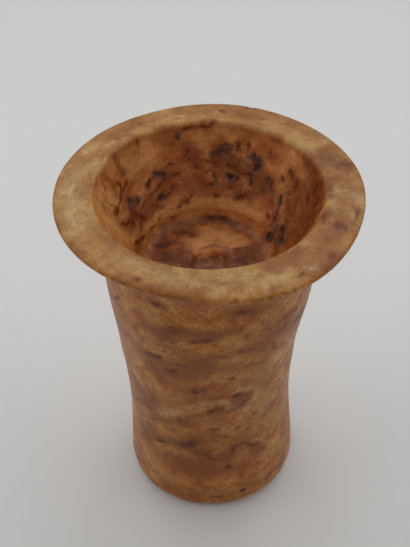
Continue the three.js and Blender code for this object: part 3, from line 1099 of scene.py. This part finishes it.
class Graph:
    """Builds the nodes of one material by plain calls, each of which gives back a socket."""

    def __init__(self, name):
        self.material = bpy.data.materials.new(name)
        self.material.use_nodes = True
        self.tree = self.material.node_tree
        self.shader = self.tree.nodes["Principled BSDF"]

    def add(self, kind, inputs, **settings):
        node = self.tree.nodes.new(kind)
        for name, value in settings.items():
            setattr(node, name, value)
        for name, value in inputs.items():
            self.give(node.inputs[name], value)
        return node

    def give(self, socket, value):
        if isinstance(value, bpy.types.NodeSocket):
            self.tree.links.new(value, socket)
        elif isinstance(value, tuple) and len(value) == 3 and socket.type == "RGBA":
            socket.default_value = (*value, 1)
        else:
            socket.default_value = value

    def math(self, operation, first, second=0.0):
        return self.add("ShaderNodeMath", {0: first, 1: second}, operation=operation).outputs[0]

    def times(self, first, second):
        return self.math("MULTIPLY", first, second)

    def rise(self, value, low, high, start=0.0, end=1.0):
        """A smooth step of value from low to high, turned into one from start to end."""
        inputs = {"Value": value, "From Min": low, "From Max": high, "To Min": start, "To Max": end}
        return self.add("ShaderNodeMapRange", inputs, interpolation_type="SMOOTHSTEP").outputs[0]

    def noise(self, place, wave, detail, roughness, twist):
        """Noise from 0 to 1 whose waves are about as long as the given wave."""
        inputs = {"Vector": place, "Scale": 1 / wave, "Detail": detail, "Roughness": roughness}
        inputs["Distortion"] = twist
        return self.add("ShaderNodeTexNoise", inputs).outputs["Fac"]

    def veins(self, place, wave, half_width, twist):
        """Thin winding lines, 1 along the middle of each."""
        noise_value = self.noise(place, wave, VEIN_DETAIL, VEIN_ROUGHNESS, twist)
        level = self.math("ABSOLUTE", self.math("SUBTRACT", noise_value, 0.5))
        return self.rise(level, 0.0, half_width, 1.0, 0.0)

    def blend(self, layers, weights, spread):
        """The sum of the named layers, each times its weight, spread out from 0 to 1."""
        total = 0.0
        for name, weight in weights.items():
            total = self.math("ADD", total, self.times(layers[name], weight))
        inputs = {"Value": total, "From Min": 0.5 - spread, "From Max": 0.5 + spread}
        return self.add("ShaderNodeMapRange", inputs).outputs[0]

    def mix(self, share, first, second):
        node = self.add("ShaderNodeMix", {}, data_type="RGBA")
        for place, value in ((0, share), (6, first), (7, second)):
            self.give(node.inputs[place], value)
        return node.outputs[2]

    def ramp(self, value, stops, colours):
        node = self.add("ShaderNodeValToRGB", {"Fac": value})
        elements = node.color_ramp.elements
        while len(elements) < len(stops):
            elements.new(1.0)
        for element, stop, colour in zip(elements, stops, colours):
            element.position = stop
            element.color = (*colour, 1)
        return node.outputs["Color"]

    def painted(self, name):
        return self.add("ShaderNodeAttribute", {}, attribute_name=name).outputs["Fac"]


def stone_layers(g):
    """The noises and the painted layers of the stone by name, and the places that the veins use."""
    place = g.add("ShaderNodeTexCoord", {}).outputs["Object"]
    scale = {"Vector": place, "Scale": (1 / MM,) * 3}
    even = g.add("ShaderNodeMapping", scale).outputs[0]
    stretched = (BEDDING_STRETCH, BEDDING_STRETCH, 1.0)
    bedding = {"Vector": even, "Rotation": (0, BEDDING_TILT, 0), "Scale": stretched}
    bedded = g.add("ShaderNodeMapping", bedding).outputs[0]
    layers = {"even": even, "bedded": bedded}
    for name, (along_bedding, *settings) in NOISES.items():
        layers[name] = g.noise(bedded if along_bedding else even, *settings)
    for name in ("rim", "hollow", *KINDS):
        layers[name] = g.painted(name)
    return layers


def ground_colour(g, layers):
    """The tones of the body, the lip and the hollow, with pale and brown veins in them."""
    lively = g.blend(layers, LIVELY, LIVELY_SPREAD)
    calm = g.blend(layers, CALM, CALM_SPREAD)
    body, rim, hollow = (
        g.ramp(tone, TONE_STOPS, tones)
        for tone, tones in ((lively, BODY_TONES), (calm, WORN_AND_LIT_LIP_TONES), (calm, HOLLOW_TONES))
    )
    colour = g.mix(layers["hollow"], g.mix(layers["rim"], body, rim), hollow)
    pale = g.times(g.veins(layers["even"], *PALE_VEINS), g.rise(layers["clouds"], *PALE_PLACES))
    colour = g.mix(pale, colour, CREAM)
    brown = g.times(g.veins(layers["bedded"], *BROWN_VEINS), g.rise(layers["drift"], *BROWN_PLACES))
    return g.mix(brown, colour, RUST_AND_SHADE)


def with_washes(g, layers, colour):
    """Lays gold, cream, rust and plum over the colour, some of the rust and plum being painted shade,
    with edges that the noises make ragged.
    """
    uneven = g.times(g.rise(layers["ragged"], *WASH_RAGGED), g.rise(layers["fine"], *WASH_FINE))
    shades = {"gold": g.mix(layers["hollow"], GOLD, HONEY), "cream": CREAM, "rust_and_shade": RUST_AND_SHADE, "plum_and_shade": PLUM_AND_SHADE}
    for kind, shade in shades.items():
        share = g.rise(g.times(layers[kind], uneven), 0.0, 1.0, 0.0, WASH_STRENGTH[kind])
        colour = g.mix(share, colour, shade)
    return colour


def with_stains(g, layers, colour):
    """Lays rusty spots, dark stains (a few of them painted shade), pits with a few glints and dark
    specks over the colour.
    """
    most = g.rise(layers["rim"], 0.0, 1.0, *SPOT_STRENGTH)
    spots = g.times(g.rise(layers["dots"], *SPOTS), g.rise(layers["mottle"], *SPOT_PLACES, most))
    colour = g.mix(spots, colour, RUST_AND_SHADE)
    stain = g.times(layers["iron_and_shade"], g.rise(layers["ragged"], *STAIN_RAGGED))
    colour = g.mix(g.rise(stain, *STAIN_EDGE), colour, RUST_AND_SHADE)
    colour = g.mix(g.rise(stain, *STAIN_CORE), colour, IRON_AND_SHADE)
    holes = g.times(layers["pit"], g.rise(layers["crumbs"], *PIT_CRUMBS))
    colour = g.mix(g.rise(holes, *PIT_EDGE), colour, SHADE)
    colour = g.mix(g.rise(holes, *PIT_CORE), colour, PIT)
    glints = g.times(g.rise(layers["grain"], *GLINTS), g.rise(layers["pit"], *GLINT_PLACES))
    colour = g.mix(glints, colour, GLINT)
    most = g.rise(layers["rim"], 0.0, 1.0, *SPECK_STRENGTH)
    specks = g.times(g.rise(layers["fine"], *SPECKS), g.rise(layers["grain"], *SPECK_PLACES, most))
    return g.mix(specks, colour, IRON_AND_SHADE)


def make_alabaster():
    g = Graph("alabaster")
    layers = stone_layers(g)
    fine, grain, pit = layers["fine"], layers["grain"], layers["pit"]
    colour = with_stains(g, layers, with_washes(g, layers, ground_colour(g, layers)))
    shade = {"Color": colour, "Value": g.rise(fine, *FINE_VALUE)}
    g.give(g.shader.inputs["Base Color"], g.add("ShaderNodeHueSaturation", shade).outputs[0])
    rough = g.math("ADD", g.rise(fine, *FINE_ROUGHNESS), g.times(pit, PIT_ROUGHER))
    g.give(g.shader.inputs["Roughness"], rough)
    height = g.math("ADD", g.times(fine, FINE_RELIEF), g.times(grain, GRAIN_RELIEF))
    height = g.math("SUBTRACT", height, g.times(pit, grain))
    relief_inputs = {"Height": height, "Strength": BUMP_STRENGTH, "Distance": BUMP_HEIGHT * MM}
    g.give(g.shader.inputs["Normal"], g.add("ShaderNodeBump", relief_inputs).outputs[0])
    g.shader.inputs["Specular IOR Level"].default_value = SPECULAR_LEVEL
    return g.material


bpy.context.scene.view_settings.view_transform = "Standard"
make_camera()
make_light()
make_floor()
vase = make_vase()
vase.data.materials.append(make_alabaster())
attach(vase, "root")
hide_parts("vase")
